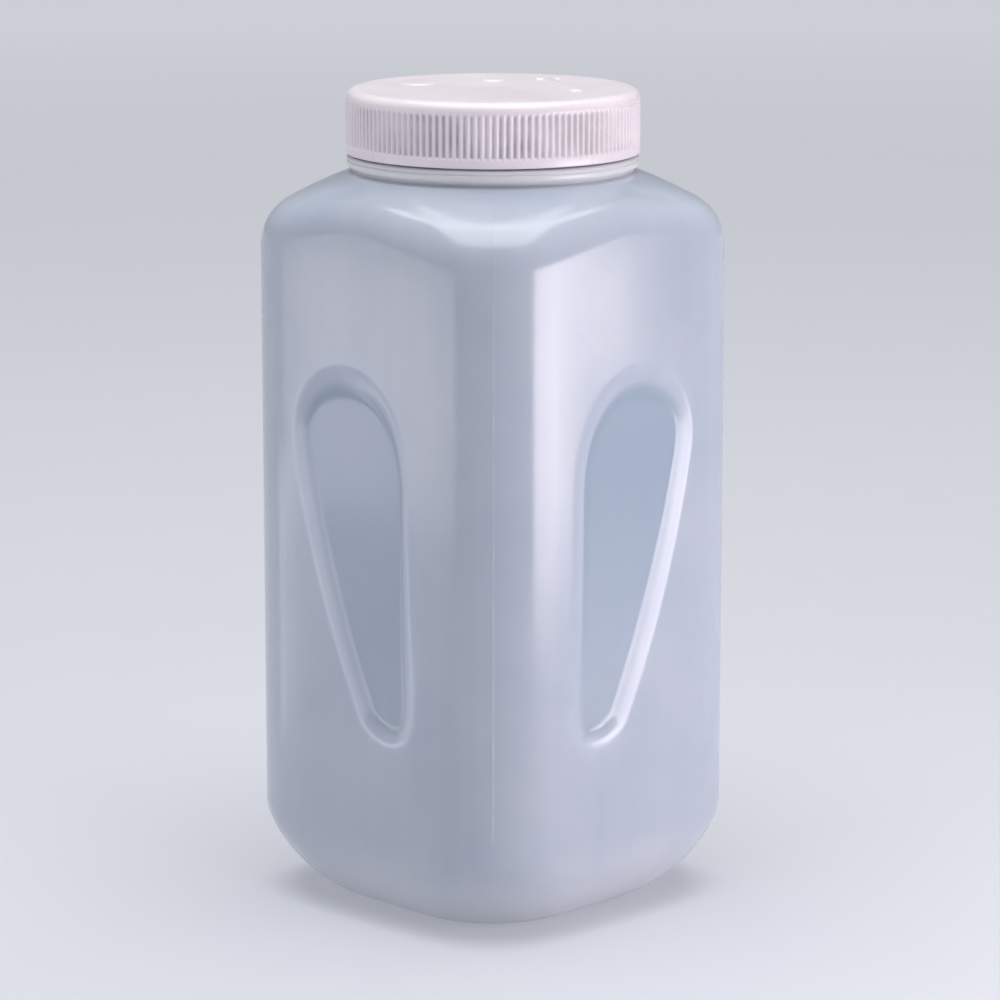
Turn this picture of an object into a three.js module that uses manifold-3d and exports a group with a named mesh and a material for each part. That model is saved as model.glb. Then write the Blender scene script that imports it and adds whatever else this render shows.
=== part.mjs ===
// A four-litre square wide-mouth reagent bottle: blow-moulded translucent bottle, ribbed screw cap and
// sealing liner. Millimetres, +Z up. The origin is the centre of the base, on the surface that the bottle
// stands on, and the four faces look along X and Y. Everything is placed from the named heights below.
import * as THREE from "three";
import { mergeVertices } from "three/addons/utils/BufferGeometryUtils.js";
import Module from "manifold-3d";

const wasm = await Module();
wasm.setup();

// Body section: a square with round corners and slightly crowned faces.
const HALF_WIDTH = 70.4; // face centre to axis
const DIAGONAL = 84.0; // corner to axis
const FACE_RADIUS = 600.0; // of each face's outward bow
const WALL = 1.8;
const FACE_STEPS = 3; // columns between a face's middle and its end
const CORNER_STEPS = 4; // and from there to the corner

// Heights of the body, bottom to top.
const HEEL_AT_FACE = 25.5; // height and inset of the rounded heel below a face
const HEEL_AT_CORNER = 33.0;
const HEEL_POWER = 1.5; // exponent of the heel's curve: 2 would be a circle, less is a flatter chamfer
const HEEL_LEVELS = [0, 1.2, 4, 9, 16, 24, HEEL_AT_CORNER];
const FOOT_WIDTH = 7.0; // flat band that touches the bench
const PUSH_UP = 5.0; // how far the middle of the base is raised
const PUSH_UP_SLOPE = 14.0; // width over which it rises
const SHOULDER_TOP = 267.2; // where the shoulder meets the neck
const SHOULDER_RADIUS = 51.4;
const SHOULDER_SLOPE = 0.39; // fall per mm of radius at the neck
const SHOULDER_DOME = 0.0023; // and how it steepens outwards
const CREST_AT_FACE = 14.0; // radius that rolls the shoulder over into a face
const CREST_AT_CORNER = 18.5; // and into a corner
const CREST_SHARE = 0.6; // of the steps up the shoulder, the rest being on the dome
const SHOULDER_STEPS = [0, 0.15, 0.3, 0.45, CREST_SHARE, 0.8, 1];

// Hand grips: one teardrop recess on each face. Each pair shares a corner and mirrors about it.
// A wall drops from rim to floor as its width's share to a power: a high power is a roll with a sharp foot.
const GRIP_DEPTH = 2.7; // floor below the plane that touches the middle of the face
const GRIP_NEAR = [9.2, 3.0]; // width and power of the wall next to the gripped corner
const GRIP_NEAR_FOOT = 1.1; // its power at the bottom, where it is a plain slope
const GRIP_FOOT_AT = 95.0; // height below which it is that slope
const GRIP_FOOT_RUN = 60.0; // and over which it changes to the roll
const GRIP_FAR = [5.0, 1.0]; // the wall opposite
const GRIP_ABOVE = [11.0, 1.3];
const GRIP_BELOW = [6.0, 1.5];
const GRIP_LEVELS = [-0.3, 0.15, 0.5, 1]; // shares of the depth; below 0 is outside the face
const GRIP_CURVE_STEPS = 7; // points on each curve of the outline

// Neck finish.
const NECK_FOOT_RADIUS = 50.9; // between the shoulder and the bead
const BEAD_RADIUS = 52.8;
const BEAD_BOTTOM = 268.3;
const BEAD_TOP = 273.4;
const BEAD_EDGE = 1.3;
const BEAD_GROOVE = 271.6; // height of the shallow groove round the bead
const BEAD_GROOVE_DEPTH = 0.5;
const NECK_RADIUS = 48.7; // thread root
const MOUTH_RADIUS = 45.0;
const THROAT_RADIUS = 46.2; // inside, at the top of the shoulder
const MOUTH_TOP = 293.3;
const LIP_EDGE = 0.8;

// Thread: right-handed, the same pitch and section on both parts.
const PITCH = 5.08;
const THREAD_HEIGHT = 1.3;
const THREAD_ROOT_WIDTH = 2.3;
const THREAD_CREST_WIDTH = 1.1;
const THREAD_STEPS = 36; // per turn
const BOTTLE_THREAD_START = 278.1;
const BOTTLE_THREAD_TURNS = 2.25;
const CAP_THREAD_TURNS = 2;
const THREAD_FADE = 0.09; // share of a turn over which a thread's end runs out
const THREAD_END = 0.15; // share of the height that is left at the very end
const THREAD_SUNK = 0.4; // how far the ridge reaches into its wall

// Cap.
const CAP_RADIUS = 53.0;
const CAP_BOTTOM = 274.0;
const CAP_TOP = 297.0;
const CAP_EDGE = 3.6; // radius of the rounded top edge
const CAP_BORE = 50.5; // inside of the skirt
const CAP_PLATE = 2.0; // thickness of the top
const CAP_SEGMENTS = 66;
const CAP_EDGE_STEPS = 3;
const RIB_COUNT = 132;
const RIB_DEPTH = 0.7;
const RIB_BOTTOM = 277.4;
const RIB_TOP = 292.6;
const RIB_ROOT = 52.2; // radius of the skirt behind the ribs, just inside their grooves
const RIB_RAMP = 0.6; // height over which the skirt steps in to it
const MARK_HEIGHT = 0.4; // plain marks moulded on the top: a dot, an oval pad and an arrow
const MARK_ROOT = 1.0; // how far they reach into the top
const DOT_RADIUS = 4.0;
const DOT_AT = [-17.7, 17.7];
const OVAL_SIZE = [17, 13];
const OVAL_AT = [-30.4, -7.8];
const ARROW_TAIL = [29.7, 12.7];
const ARROW_TIP = [-14.1, 39.6];
const ARROW_WIDTH = 4.5;
const ARROW_HEAD = 10.0; // length and width of the head

// Sealing liner: a disc held in the cap, over the mouth.
const GAP = 0.3; // left between pieces that touch
const LINER_RADIUS = 48.6;
const LINER_BOTTOM = MOUTH_TOP + GAP;
const LINER_TOP = CAP_TOP - CAP_PLATE - GAP;

const OCTANT = Math.PI / 4;
const ROOT2 = Math.SQRT2;

const clamp = (v, low, high) => Math.min(high, Math.max(low, v));
const smooth = (x) => x * x * (3 - 2 * x);

// ---------- solids ----------

function solidOf(geometry) {
  const bare = geometry.clone();
  for (const name of Object.keys(bare.attributes)) {
    if (name !== "position") bare.deleteAttribute(name);
  }
  const merged = mergeVertices(bare, 1e-4);
  const vertProperties = new Float32Array(merged.attributes.position.array);
  const triVerts = new Uint32Array(merged.index.array);
  const solid = new wasm.Manifold(new wasm.Mesh({ numProp: 3, vertProperties, triVerts }));
  if (solid.volume() > 0) return solid;
  return new wasm.Manifold(new wasm.Mesh({ numProp: 3, vertProperties, triVerts: triVerts.reverse() }));
}

function geometryOf(solid) {
  const mesh = solid.getMesh();
  const geometry = new THREE.BufferGeometry();
  geometry.setAttribute("position", new THREE.BufferAttribute(mesh.vertProperties, 3));
  geometry.setIndex(new THREE.BufferAttribute(mesh.triVerts, 1));
  geometry.computeVertexNormals();
  return geometry;
}

function meshOf(positions, faces) {
  const geometry = new THREE.BufferGeometry();
  geometry.setAttribute("position", new THREE.Float32BufferAttribute(positions, 3));
  geometry.setIndex(faces);
  return geometry;
}

// Joins closed rings of equal length one after another, and closes both ends with a fan to their middle.
function skin(rings) {
  const count = rings[0].length;
  const positions = rings.flat().flatMap((p) => p.toArray());
  const faces = [];
  for (let level = 0; level + 1 < rings.length; level++) {
    for (let i = 0; i < count; i++) {
      const a = level * count + i;
      const b = level * count + ((i + 1) % count);
      faces.push(a, b, b + count, a, b + count, a + count);
    }
  }
  for (const [level, flip] of [[0, true], [rings.length - 1, false]]) {
    const middle = rings[level].reduce((sum, p) => sum.add(p), new THREE.Vector3()).divideScalar(count);
    const hub = positions.length / 3;
    positions.push(...middle.toArray());
    for (let i = 0; i < count; i++) {
      const a = level * count + i;
      const b = level * count + ((i + 1) % count);
      faces.push(...(flip ? [b, a, hub] : [a, b, hub]));
    }
  }
  return meshOf(positions, faces);
}

function lathe(profile, segments) {
  const points = profile.map(([radius, z]) => new THREE.Vector2(radius, z));
  return new THREE.LatheGeometry(points, segments).rotateX(Math.PI / 2);
}

// ---------- body ----------

// Radius of the corner arc that runs smoothly into the bowed faces, for a face and a corner that far from
// the axis.
function cornerRadius(face, corner) {
  const back = FACE_RADIUS - face;
  const above = corner * corner + ROOT2 * back * corner + back * back - FACE_RADIUS * FACE_RADIUS;
  return above / (2 * corner + ROOT2 * back - 2 * FACE_RADIUS);
}

// Angle at which a face runs into its corner.
function faceEnd(face, corner) {
  const middle = (corner - cornerRadius(face, corner)) / ROOT2;
  const lean = Math.atan2(middle, middle + FACE_RADIUS - face);
  return Math.atan2(FACE_RADIUS * Math.sin(lean), face - FACE_RADIUS * (1 - Math.cos(lean)));
}

// Angles of the section's columns, all the way round.
function sectionAngles() {
  const end = faceEnd(HALF_WIDTH, DIAGONAL);
  const octant = [];
  for (let i = 0; i < FACE_STEPS; i++) octant.push((end * i) / FACE_STEPS);
  for (let i = 0; i <= CORNER_STEPS; i++) octant.push(end + ((OCTANT - end) * i) / CORNER_STEPS);
  const quarter = [...octant, ...octant.slice(1, -1).reverse().map((angle) => 2 * OCTANT - angle)];
  return [0, 1, 2, 3].flatMap((k) => quarter.map((angle) => angle + 2 * k * OCTANT));
}
const ANGLES = sectionAngles();

// Distance from the axis to the section whose face and corner lie at those distances.
function sectionRadius(angle, face, corner) {
  const round = cornerRadius(face, corner);
  const middle = (corner - round) / ROOT2;
  const turn = Math.abs(((angle + OCTANT) % (2 * OCTANT)) - OCTANT);
  if (turn <= faceEnd(face, corner)) {
    const back = face - FACE_RADIUS;
    return back * Math.cos(turn) + Math.sqrt(FACE_RADIUS ** 2 - (back * Math.sin(turn)) ** 2);
  }
  const across = middle * (Math.cos(turn) - Math.sin(turn));
  return middle * (Math.cos(turn) + Math.sin(turn)) + Math.sqrt(round * round - across * across);
}

function bodyRing(z, face, corner) {
  return ANGLES.map((angle) => {
    const radius = sectionRadius(angle, face, corner);
    return new THREE.Vector3(radius * Math.cos(angle), radius * Math.sin(angle), z);
  });
}

const heelInset = (z, height) =>
  z >= height ? 0 : height * (1 - (1 - ((height - z) / height) ** HEEL_POWER) ** (1 / HEEL_POWER));

const dome = (radius) => {
  const out = radius - SHOULDER_RADIUS;
  return SHOULDER_TOP - SHOULDER_SLOPE * out - SHOULDER_DOME * out * out;
};

// Where the arc that rolls a wall onto the dome touches it, for a wall at that distance from the axis: the
// height where the arc starts, the angle that it turns through, and where it ends.
function crest(wall, radius) {
  let angle = Math.PI / 3;
  for (let pass = 0; pass < 8; pass++) {
    const out = wall - radius + radius * Math.cos(angle) - SHOULDER_RADIUS;
    angle = Math.PI / 2 - Math.atan(SHOULDER_SLOPE + 2 * SHOULDER_DOME * out);
  }
  const touch = wall - radius + radius * Math.cos(angle);
  return { start: dome(touch) - radius * Math.sin(angle), angle, touch };
}

// Distance from the axis, and height, at a step from 0, the top of the straight wall, to 1, the neck.
function shoulderPoint(wall, radius, step) {
  const { start, angle, touch } = crest(wall, radius);
  if (step <= CREST_SHARE) {
    const a = (angle * step) / CREST_SHARE;
    return [wall - radius + radius * Math.cos(a), start + radius * Math.sin(a)];
  }
  const out = touch + ((SHOULDER_RADIUS - touch) * (step - CREST_SHARE)) / (1 - CREST_SHARE);
  return [out, dome(out)];
}

// A shoulder ring: face and corner climb their own curves, so each point's height is a mix of the two.
function shoulderRing(step, inset) {
  const [face, faceZ] = shoulderPoint(HALF_WIDTH, CREST_AT_FACE, step);
  const [corner, cornerZ] = shoulderPoint(DIAGONAL, CREST_AT_CORNER, step);
  const ring = bodyRing(0, face - inset, Math.max(corner, face) - inset);
  ring.forEach((p, i) => {
    const share = Math.sin(2 * ANGLES[i]) ** 2; // 0 at a face's centre, 1 at a corner
    p.z = faceZ + (cornerZ - faceZ) * share - inset * step;
  });
  return ring;
}

// The body from heel to neck, offset inwards for the inside. The inside has its floor above the base.
function bodyRings(inset) {
  const rings = HEEL_LEVELS.map((z) => {
    const face = HALF_WIDTH - heelInset(z, HEEL_AT_FACE) - inset;
    const corner = DIAGONAL - heelInset(z, HEEL_AT_CORNER) - inset;
    const share = z / HEEL_AT_CORNER;
    return bodyRing(z + inset * (1 - share), face, corner);
  });
  for (const step of SHOULDER_STEPS) rings.push(shoulderRing(step, inset));
  return rings;
}

// The raised middle of the base: a shallow dish that starts inside the foot band.
function baseRings(inset) {
  const face = HALF_WIDTH - HEEL_AT_FACE - FOOT_WIDTH;
  const corner = DIAGONAL - HEEL_AT_CORNER - FOOT_WIDTH;
  return [1, 0.5, 0].map((share) => {
    const inward = PUSH_UP_SLOPE * share;
    return bodyRing(PUSH_UP * smooth(share) + inset, face - inward, corner - inward);
  });
}

function circleRing(radius, z) {
  return ANGLES.map((angle) => new THREE.Vector3(radius * Math.cos(angle), radius * Math.sin(angle), z));
}

// ---------- grips ----------

// The rim of a grip, seen square on: along the face towards the gripped corner, and up.
function gripRim() {
  const rim = new THREE.Path();
  rim.moveTo(31.5, 84);
  rim.lineTo(31.5, 158);
  rim.bezierCurveTo(31.5, 188, 18, 204, -4, 204);
  rim.bezierCurveTo(-19, 204, -34, 191, -31.5, 172);
  rim.bezierCurveTo(-25, 140, -13, 106.5, 2.5, 76.5);
  rim.bezierCurveTo(7.5, 67.3, 31.5, 62, 31.5, 84);
  return rim.getPoints(GRIP_CURVE_STEPS).slice(0, -1);
}

// The solid that presses a grip into the +X face. Offset it by the wall to shape the inside of the bottle.
function gripTool(offset) {
  const rim = gripRim();
  const count = rim.length;
  const outward = rim.map((p, i) => {
    const along = rim[(i + 1) % count].clone().sub(rim[(i + count - 1) % count]).normalize();
    return new THREE.Vector2(along.y, -along.x);
  });
  const rings = GRIP_LEVELS.map((share) =>
    rim.map((p, i) => {
      const n = outward[i];
      const climb = clamp((p.y - GRIP_FOOT_AT) / GRIP_FOOT_RUN, 0, 1);
      const near = [GRIP_NEAR[0], GRIP_NEAR_FOOT + (GRIP_NEAR[1] - GRIP_NEAR_FOOT) * climb];
      const sideways = n.x > 0 ? near : GRIP_FAR;
      const upright = n.y > 0 ? GRIP_ABOVE : GRIP_BELOW;
      const [width, power] = [0, 1].map((k) => sideways[k] * n.x * n.x + upright[k] * n.y * n.y);
      const inwards = width * (share > 0 ? share ** (1 / power) : share);
      const q = p.clone().addScaledVector(n, offset - inwards);
      const bow = (q.x * q.x) / (2 * FACE_RADIUS);
      const depth = bow + (GRIP_DEPTH - bow) * share;
      return new THREE.Vector3(HALF_WIDTH - depth - offset, -q.x, q.y);
    }),
  );
  return skin(rings);
}

// The grips on +X and -Y share the corner between them, and so do those on -X and +Y.
function gripTools(offset) {
  const swap = new THREE.Matrix4().set(0, -1, 0, 0, -1, 0, 0, 0, 0, 0, 1, 0, 0, 0, 0, 1);
  const one = gripTool(offset);
  const other = one.clone().applyMatrix4(swap);
  return [one, other].flatMap((tool) => [solidOf(tool), solidOf(tool.clone().rotateZ(Math.PI))]);
}

// ---------- threads ----------

// A helical ridge on the outside or the inside of a wall, sunk into it so that the two join as one solid.
function thread({ radius, inward, start, turns }) {
  const count = Math.round(turns * THREAD_STEPS);
  const sections = [];
  for (let i = 0; i <= count; i++) {
    const turn = (i / count) * turns;
    const end = Math.min(turn, turns - turn) / THREAD_FADE;
    const height = THREAD_HEIGHT * clamp(end, THREAD_END, 1);
    const out = inward ? -1 : 1;
    const angle = 2 * Math.PI * turn;
    const middle = start + PITCH * turn;
    sections.push(
      [
        [radius - out * THREAD_SUNK, -THREAD_ROOT_WIDTH / 2],
        [radius + out * height, -THREAD_CREST_WIDTH / 2],
        [radius + out * height, THREAD_CREST_WIDTH / 2],
        [radius - out * THREAD_SUNK, THREAD_ROOT_WIDTH / 2],
      ].map(([r, dz]) => [r * Math.cos(angle), r * Math.sin(angle), middle + dz]),
    );
  }
  const faces = [];
  for (let i = 0; i < count; i++) {
    for (let j = 0; j < 4; j++) {
      const a = i * 4 + j;
      const b = i * 4 + ((j + 1) % 4);
      faces.push(a, b, b + 4, a, b + 4, a + 4);
    }
  }
  const last = count * 4;
  faces.push(0, 2, 1, 0, 3, 2, last, last + 1, last + 2, last, last + 2, last + 3);
  return solidOf(meshOf(sections.flat(2), faces));
}

// ---------- pieces ----------

function bottleGeometry() {
  const outer = [
    ...baseRings(0),
    ...bodyRings(0),
    ...[
      [NECK_FOOT_RADIUS, BEAD_BOTTOM],
      [BEAD_RADIUS, BEAD_BOTTOM + BEAD_EDGE],
      [BEAD_RADIUS, BEAD_GROOVE - BEAD_GROOVE_DEPTH],
      [BEAD_RADIUS - BEAD_GROOVE_DEPTH, BEAD_GROOVE],
      [BEAD_RADIUS, BEAD_GROOVE + BEAD_GROOVE_DEPTH],
      [BEAD_RADIUS - BEAD_EDGE, BEAD_TOP],
      [NECK_RADIUS, BEAD_TOP],
      [NECK_RADIUS, MOUTH_TOP - LIP_EDGE],
      [NECK_RADIUS - LIP_EDGE, MOUTH_TOP],
    ].map(([radius, z]) => circleRing(radius, z)),
  ];
  const inner = [
    ...baseRings(WALL),
    ...bodyRings(WALL).slice(0, -1),
    circleRing(THROAT_RADIUS, SHOULDER_TOP - WALL),
    circleRing(MOUTH_RADIUS, BEAD_GROOVE),
    circleRing(MOUTH_RADIUS, MOUTH_TOP + WALL),
  ];
  const ridge = thread({
    radius: NECK_RADIUS,
    inward: false,
    start: BOTTLE_THREAD_START,
    turns: BOTTLE_THREAD_TURNS,
  });
  const press = (solid, offset) => gripTools(offset).reduce((rest, tool) => rest.subtract(tool), solid);
  const shell = press(solidOf(skin(outer)), 0);
  const hollow = press(solidOf(skin(inner)), WALL);
  return geometryOf(shell.add(ridge).subtract(hollow));
}

function raised(shape) {
  const depth = MARK_ROOT + MARK_HEIGHT;
  const solid = new THREE.ExtrudeGeometry(shape, { depth, bevelEnabled: false, curveSegments: 8 });
  return solid.translate(0, 0, CAP_TOP - MARK_ROOT);
}

function arrowGeometry() {
  const run = new THREE.Vector2(...ARROW_TIP).sub(new THREE.Vector2(...ARROW_TAIL));
  const neck = run.length() - ARROW_HEAD;
  const half = ARROW_WIDTH / 2;
  const barb = ARROW_HEAD / 2;
  const shape = new THREE.Shape();
  shape.moveTo(0, -half);
  shape.lineTo(neck, -half);
  shape.lineTo(neck, -barb);
  shape.lineTo(neck + ARROW_HEAD, 0);
  shape.lineTo(neck, barb);
  shape.lineTo(neck, half);
  shape.lineTo(0, half);
  return raised(shape).rotateZ(run.angle()).translate(...ARROW_TAIL, 0);
}

function ovalGeometry(length, width, at, angle) {
  const shape = new THREE.Shape();
  shape.absellipse(0, 0, length / 2, width / 2, 0, 2 * Math.PI, false, 0);
  return raised(shape).rotateZ(angle).translate(...at, 0);
}

function ribBandGeometry() {
  const shape = new THREE.Shape();
  const corners = [];
  for (let i = 0; i < 2 * RIB_COUNT; i++) {
    const radius = CAP_RADIUS - (i % 2) * RIB_DEPTH;
    const angle = (i * Math.PI) / RIB_COUNT;
    corners.push(new THREE.Vector2(radius * Math.cos(angle), radius * Math.sin(angle)));
  }
  shape.setFromPoints(corners);
  const hole = new THREE.Path();
  hole.absarc(0, 0, (CAP_BORE + RIB_ROOT) / 2, 0, 2 * Math.PI, true);
  shape.holes.push(hole);
  return new THREE.ExtrudeGeometry(shape, {
    depth: RIB_TOP - RIB_BOTTOM,
    bevelEnabled: false,
    curveSegments: 24,
  }).translate(0, 0, RIB_BOTTOM);
}

function capGeometry() {
  const profile = [
    [0, CAP_TOP - CAP_PLATE],
    [CAP_BORE, CAP_TOP - CAP_PLATE],
    [CAP_BORE, CAP_BOTTOM],
    [CAP_RADIUS, CAP_BOTTOM],
    [CAP_RADIUS, RIB_BOTTOM - RIB_RAMP],
    [RIB_ROOT, RIB_BOTTOM],
    [RIB_ROOT, RIB_TOP],
    [CAP_RADIUS, RIB_TOP + RIB_RAMP],
  ];
  for (let i = 0; i <= CAP_EDGE_STEPS; i++) {
    const a = (i / CAP_EDGE_STEPS) * (Math.PI / 2);
    profile.push([CAP_RADIUS - CAP_EDGE * (1 - Math.cos(a)), CAP_TOP - CAP_EDGE * (1 - Math.sin(a))]);
  }
  profile.push([0, CAP_TOP]);
  const ridge = thread({
    radius: CAP_BORE,
    inward: true,
    start: BOTTLE_THREAD_START - PITCH / 2,
    turns: CAP_THREAD_TURNS,
  });
  return geometryOf(
    solidOf(lathe(profile, CAP_SEGMENTS))
      .add(solidOf(ribBandGeometry()))
      .add(solidOf(ovalGeometry(2 * DOT_RADIUS, 2 * DOT_RADIUS, DOT_AT, 0)))
      .add(solidOf(ovalGeometry(...OVAL_SIZE, OVAL_AT, 3 * OCTANT)))
      .add(solidOf(arrowGeometry()))
      .add(ridge),
  );
}

function linerGeometry() {
  const profile = [
    [0, LINER_BOTTOM],
    [LINER_RADIUS, LINER_BOTTOM],
    [LINER_RADIUS, LINER_TOP],
    [0, LINER_TOP],
  ];
  return lathe(profile, 64);
}

function piece(name, geometry, material) {
  const mesh = new THREE.Mesh(geometry, material);
  mesh.name = name;
  return mesh;
}

const translucentPlastic = new THREE.MeshStandardMaterial({
  color: 0xafbed5,
  roughness: 0.32,
  metalness: 0,
});
const whitePlastic = new THREE.MeshStandardMaterial({ color: 0xe9e4e6, roughness: 0.3, metalness: 0 });
const linerFoam = new THREE.MeshStandardMaterial({ color: 0xf2f0ea, roughness: 0.6, metalness: 0 });

const bottle = new THREE.Group();
bottle.add(piece("bottle", bottleGeometry(), translucentPlastic));
bottle.add(piece("screw_cap", capGeometry(), whitePlastic));
bottle.add(piece("cap_liner", linerGeometry(), linerFoam));

export default bottle;
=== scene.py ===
"""A square wide-mouth reagent bottle in milky plastic, with its ribbed screw cap and the cap's liner.

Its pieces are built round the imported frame. Meshes are worked out in millimetres and made in metres.
"""

import math

import bpy
import numpy as np
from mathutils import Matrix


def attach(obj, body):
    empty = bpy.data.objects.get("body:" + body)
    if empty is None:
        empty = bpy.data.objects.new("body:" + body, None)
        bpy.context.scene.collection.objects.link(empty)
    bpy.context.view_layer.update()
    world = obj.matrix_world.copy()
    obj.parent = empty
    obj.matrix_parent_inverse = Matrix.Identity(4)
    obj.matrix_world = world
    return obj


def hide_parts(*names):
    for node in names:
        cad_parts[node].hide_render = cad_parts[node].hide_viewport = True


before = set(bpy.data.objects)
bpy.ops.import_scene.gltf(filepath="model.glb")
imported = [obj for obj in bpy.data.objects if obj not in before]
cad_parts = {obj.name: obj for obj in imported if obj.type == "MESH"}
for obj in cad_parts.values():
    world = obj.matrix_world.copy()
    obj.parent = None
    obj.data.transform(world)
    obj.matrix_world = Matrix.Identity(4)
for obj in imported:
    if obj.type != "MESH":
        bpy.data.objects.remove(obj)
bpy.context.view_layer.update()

MM = 0.001
QUARTER = math.pi / 2

# Body section and heights, in millimetres, as in the CAD source.
HALF_WIDTH = 70.4
DIAGONAL = 84.0
FACE_RADIUS = 600.0
WALL = 1.8
HEEL_AT_FACE = 25.5
HEEL_AT_CORNER = 33.0
HEEL_POWER = 1.5
HEEL_BUNCHING = 1.6  # rings crowd towards the foot by this power
FOOT_WIDTH = 7.0
PUSH_UP = 5.0
PUSH_UP_SLOPE = 14.0
SHOULDER_TOP = 267.2
SHOULDER_RADIUS = 51.4
SHOULDER_SLOPE = 0.39
SHOULDER_DOME = 0.0023
CREST_AT_FACE = 14.0
CREST_AT_CORNER = 18.5
CREST_SHARE = 0.6  # share of the shoulder's rings that is on the crest, the rest being on the dome

# Density of the body's mesh: columns along a face and round a corner, then rings.
FACE_COLUMNS = 77
CORNER_COLUMNS = 24
RINGS_BELOW_GRIPS = (38.0, 44.0, 51.0, 57.0, 61.0)
RINGS_AT_GRIPS = (63.5, 207.0)  # the range over which rings are evenly spaced
RINGS_ABOVE_GRIPS = (209.0, 214.0, 222.0, 230.0)
OUTER_ROWS = (20, 1.75, 24)  # rings in the heel, their spacing at the grips, and rings in the shoulder
INNER_ROWS = (10, 8.0, 11)
OUTER_BASE_ROWS = 9
INNER_BASE_ROWS = 6

# Hand grips: depth is measured from the plane that touches the middle of a face. A wall is its width and the
# power by which it falls away. The far wall is 1.2 mm wider here than on the CAD node.
GRIP_DEPTH = 2.7
GRIP_NEAR = (9.2, 3.0)
GRIP_NEAR_FOOT = 1.1  # the near wall's power at the bottom, where it is a plain slope
GRIP_FOOT_AT = 95.0  # height below which it is that slope
GRIP_FOOT_RUN = 60.0  # and over which it changes to the roll
GRIP_FAR = (6.2, 1.0)
GRIP_ABOVE = (11.0, 1.3)
GRIP_BELOW = (6.0, 1.5)
GRIP_CREASE = 0.92  # share of a wall's width at which it starts to round into the floor
GRIP_OVERRUN = 1.15  # and at which it has done so
GRIP_SIDES = (-1, 1, -1, 1)  # on the faces from +X round, which way along the face the gripped corner is
GRIP_REACH = 36.0  # furthest that a grip goes from the middle of its face
GRIP_HEIGHTS = (60.0, 210.0)  # and the heights it stays between

# The rim of a grip: along its face towards the gripped corner, and up.
RIM_SIDE_LOW = (31.5, 84.0)
RIM_SIDE_HIGH = (31.5, 158.0)
RIM_TOP = (-4.0, 204.0)
RIM_FAR = (-31.5, 172.0)
RIM_FOOT = (2.5, 76.5)

# Neck.
BEAD_RADIUS = 52.8
BEAD_BOTTOM = 268.3
BEAD_TOP = 273.4
BEAD_EDGE = 1.3
BEAD_GROOVE = 271.6
BEAD_GROOVE_DEPTH = 0.5
NECK_RADIUS = 48.7
NECK_MIDDLE = 283.0
MOUTH_RADIUS = 45.0
MOUTH_TOP = 293.3
LIP_EDGE = 0.8

# Threads.
PITCH = 5.08
THREAD_HEIGHT = 1.3
THREAD_ROOT_WIDTH = 2.3
THREAD_CREST_WIDTH = 1.1
THREAD_SINK = 0.4  # depth of its root inside the wall
THREAD_FADE = 0.09  # turns over which it rises from each end
THREAD_END = 0.05  # share of its height that it keeps there
THREAD_STEPS = 120
BOTTLE_THREAD_START = 278.1
BOTTLE_THREAD_TURNS = 2.25
CAP_THREAD_TURNS = 2.0

# Cap.
CAP_RADIUS = 53.0
CAP_BOTTOM = 274.0
CAP_TOP = 297.0
CAP_EDGE = 3.6
CAP_BORE = 50.5
CAP_PLATE = 2.0
CAP_FLANGE_EDGE = 0.5
RIB_COUNT = 132
RIB_STEPS = 8
RIB_SHARPNESS = 1.3
RIB_DEPTH = 0.7
RIB_BOTTOM = 277.4
RIB_TOP = 292.6
# Heights from the ribs' bottom and from their top, and the share of full depth that they have there.
RIB_FOOT_ROWS = ((-0.3, 0.12), (0.0, 0.5), (0.35, 0.85), (0.9, 1.0), (3.0, 1.0), (6.0, 1.0), (9.0, 1.0))
RIB_HEAD_ROWS = ((-3.0, 1.0), (-1.2, 1.0), (-0.6, 0.9), (-0.2, 0.6), (0.2, 0.25))

# Marks on the cap's top.
MARK_HEIGHT = 0.4
# Insets from a mark's outline, and the share of its height there.
MARK_EDGE = ((-0.4, -0.5), (-0.3, 0.0), (-0.08, 0.5), (0.2, 0.92), (0.4, 1.0))
DOT_RADIUS = 4.0
DOT_AT = (-17.7, 17.7)
OVAL_SIZE = (17.0, 13.0)
OVAL_AT = (-30.4, -7.8)
ARROW_TAIL = (29.7, 12.7)
ARROW_TIP = (-14.1, 39.6)
ARROW_WIDTH = 4.5
ARROW_HEAD = 10.0
ARROW_ROUNDING = 1.8

# Liner.
LINER_RADIUS = 48.6
LINER_BOTTOM = 293.6
LINER_TOP = 294.7
LINER_DENT = 0.12  # depth of the ring that the mouth presses into it
LINER_STEPS = 160

# Parting line, at the two gripped corners.
SEAM_HEIGHT = 0.24
SEAM_BOTTOM = 40.0
SEAM_TOP = 240.0
SEAM_FADE = 20.0
SEAM_SPREAD = (-0.9, -0.35, 0.0, 0.35, 0.9)  # the columns beside it
SEAM_CLEAR = 1.6  # and how far the other columns stay from it
SEAM_WAVES = (3.1, 17.0)

# Where the plastic's colour changes: darker on the grips' floors as painted shade, and lighter where the wall
# is thick, which on the neck is also painted light.
GRIP_SHADE_REACH = 34.0
GRIP_SHADE_HEIGHTS = (62.0, 208.0)
GRIP_SHADE_DEPTH = 1.1  # how far a place is pressed in where the painted shade starts
GRIP_SHADE_RUN = 0.8
GRIP_SHADE_LOW = 0.45  # how much painted shade there is at the foot of a grip
GRIP_SHADE_RISE = (75.0, 90.0)  # height at which the painted shade starts to deepen, and over how much
HEEL_MILK = 0.65

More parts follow.
